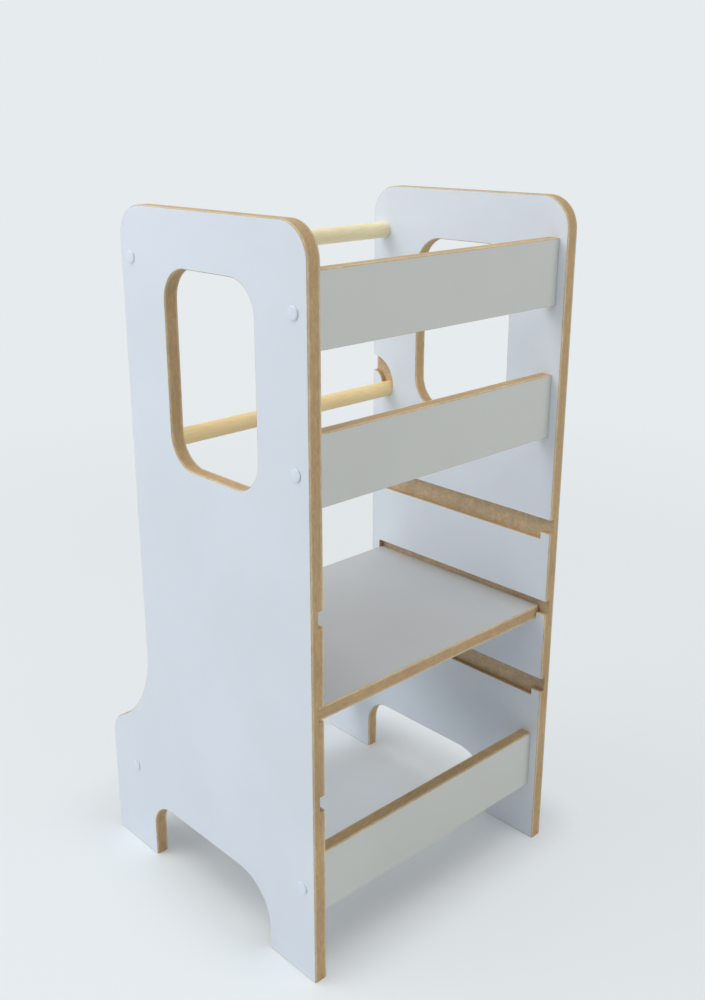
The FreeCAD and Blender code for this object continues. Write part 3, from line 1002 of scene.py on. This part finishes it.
# name: (place, target, size, tint) of the soft lights
LIGHTS = {
    "window": ((-2.4, 1.3, 1.8), (0, 0, 0.5), (2.4, 2.4), (0.92, 0.97, 1.0)),
    "front": ((1.5, -2.9, 0.9), (0, 0, 0.3), (2.4, 2.0), (1.0, 0.975, 0.94)),
    "high": ((-1.1, 1.2, 2.7), (0, 0, 0.3), (1.7, 1.7), (0.97, 0.985, 1.0)),
    "ceiling": ((-0.3, -0.7, 3.0), (-0.3, -0.7, 0), (3.0, 3.0), (1.0, 1.0, 1.0)),
}


def from_shade(tree, place):
    """Distance of a place on the floor from the rectangle where its shadow is kept almost whole."""
    for operation, *other in (
            ("SUBTRACT", SHADE_MIDDLE), ("ABSOLUTE",), ("SUBTRACT", SHADE_HALF), ("MAXIMUM", (0, 0, 0))):
        place = vector_maths(tree, operation, place, *other)
    return vector_maths(tree, "LENGTH", place)


def show_backdrop(tree, lit, backdrop_node, share=None):
    """Shader that mixes the backdrop into the lit one, for the camera and in reflections only."""
    path = add_node(tree, "ShaderNodeLightPath").outputs
    seen = maths(tree, "MAXIMUM", path["Is Camera Ray"], path["Is Glossy Ray"])
    seen = maths(tree, "MAXIMUM", seen, path["Is Transmission Ray"])
    if share is not None:
        seen = maths(tree, "MULTIPLY", share, seen)
    mix = add_node(tree, "ShaderNodeMixShader", {0: seen, 1: lit, 2: backdrop_node.outputs[0]})
    return mix.outputs[0]


def floor_material(name, floor, backdrop):
    """Pale floor that keeps the stool's shadow under it, paints light over that shadow just beside the
    stool, and fades into the backdrop further away.
    """
    made, tree, shader = new_material(name)
    place = object_place(tree)
    mottle = noise(tree, place, 1.7, detail=3.0)
    tone = blended(tree, between(tree, mottle, 0.3, 0.7), shaded(floor, 0.98), floor)
    tree.links.new(tone, shader.inputs["Base Color"])
    shader.inputs["Roughness"].default_value = 0.6
    away = from_shade(tree, place)
    # Backdrop glow that rises beside the stool: painted light over its shadow there
    near = between(tree, away, 0.0, SHADE_EDGE, SHADE_SHARE, BESIDE_GLOW_SHARE)
    far = between(tree, away, BACKDROP_START, BACKDROP_END, 0.0, 1 - BESIDE_GLOW_SHARE)
    glow = add_node(tree, "ShaderNodeEmission", {"Color": (*backdrop, 1), "Strength": 1.0})
    mixed = show_backdrop(tree, shader.outputs[0], glow, maths(tree, "ADD", near, far))
    tree.links.new(mixed, tree.nodes["Material Output"].inputs["Surface"])
    arrange(tree)
    return made


def room_light(level, backdrop):
    """World that lights evenly and shows the backdrop to the camera and in reflections."""
    world = bpy.data.worlds.new("studio")
    bpy.context.scene.world = world
    world.use_nodes = True
    tree = world.node_tree
    ground = tree.nodes["Background"]
    ground.inputs["Color"].default_value = (1, 1, 1, 1)
    ground.inputs["Strength"].default_value = level
    shown = add_node(tree, "ShaderNodeBackground", {"Color": (*backdrop, 1), "Strength": 1.0})
    mixed = show_backdrop(tree, ground.outputs[0], shown)
    tree.links.new(mixed, tree.nodes["World Output"].inputs["Surface"])
    arrange(tree)


def soft_light(name, power, place, target, size, tint):
    """Large rectangular lamp that faces the target."""
    lamp = bpy.data.lights.new(name, "AREA")
    lamp.shape = "RECTANGLE"
    lamp.size, lamp.size_y = size
    lamp.energy = power
    lamp.color = tint
    made = new_object(name, lamp)
    made.location = place
    made.rotation_euler = (Vector(target) - Vector(place)).to_track_quat("-Z", "Y").to_euler()


class STOOL_OT_stage(bpy.types.Operator):
    """Pale floor, soft light and the camera"""
    bl_idname = "stool.stage"
    bl_label = "Stage"

    def execute(self, context):
        stage = context.scene.stool_stage
        shape = bmesh.new()
        bmesh.ops.create_circle(shape, cap_ends=True, segments=96, radius=FLOOR_RADIUS)
        floor = new_object("floor", mesh_from("floor", shape))
        floor.data.materials.append(floor_material("studio_floor", stage.floor, stage.backdrop))
        room_light(stage.sky_level, stage.backdrop)
        for name, setting in LIGHTS.items():
            soft_light(name + "_light", getattr(stage, name + "_power"), *setting)
        camera = bpy.data.cameras.new("camera")
        camera.lens = stage.lens
        camera.sensor_width = FILM_WIDTH
        camera.shift_x, camera.shift_y = CAMERA_SHIFT
        camera.clip_start = 0.05
        eye = new_object("camera", camera)
        eye.matrix_world = (
            Matrix.Translation(CAMERA_PLACE)
            @ Matrix.Rotation(-math.radians(CAMERA_YAW), 4, "Z")
            @ Matrix.Rotation(math.radians(90 - CAMERA_PITCH), 4, "X")
            @ Matrix.Rotation(math.radians(CAMERA_ROLL), 4, "Z"))
        context.scene.camera = eye
        context.scene.view_settings.view_transform = "Standard"
        return {"FINISHED"}


class STOOL_PT_pieces(bpy.types.Panel):
    """Buttons that make the stool's pieces, and their settings"""
    bl_idname = "STOOL_PT_pieces"
    bl_label = "Helper Stool"
    bl_space_type = "VIEW_3D"
    bl_region_type = "UI"
    bl_category = "Helper Stool"

    def draw(self, context):
        for operator in OPERATORS:
            self.layout.operator(operator.bl_idname)
        for settings in (context.scene.stool_shape, context.scene.stool_colours, context.scene.stool_stage):
            column = self.layout.column(align=True)
            for name in settings.__annotations__:
                column.prop(settings, name)


OPERATORS = (
    STOOL_OT_side_panels,
    STOOL_OT_rails,
    STOOL_OT_platform,
    STOOL_OT_bars,
    STOOL_OT_screw_caps,
    STOOL_OT_joinery,
    STOOL_OT_stage,
)
SETTINGS = {
    "stool_shape": StoolShapeSettings,
    "stool_colours": StoolColourSettings,
    "stool_stage": StoolStageSettings,
}


def register():
    for settings in SETTINGS.values():
        bpy.utils.register_class(settings)
    for name, settings in SETTINGS.items():
        setattr(bpy.types.Scene, name, bpy.props.PointerProperty(type=settings))
    for operator in OPERATORS:
        bpy.utils.register_class(operator)
    bpy.utils.register_class(STOOL_PT_pieces)


def unregister():
    bpy.utils.unregister_class(STOOL_PT_pieces)
    for operator in reversed(OPERATORS):
        bpy.utils.unregister_class(operator)
    for name, settings in SETTINGS.items():
        delattr(bpy.types.Scene, name)
        bpy.utils.unregister_class(settings)


def main():
    """Makes every piece in order."""
    register()
    for step in ("side_panels", "rails", "platform", "bars", "screw_caps", "joinery", "stage"):
        getattr(bpy.ops.stool, step)()


if __name__ == "__main__":
    main()
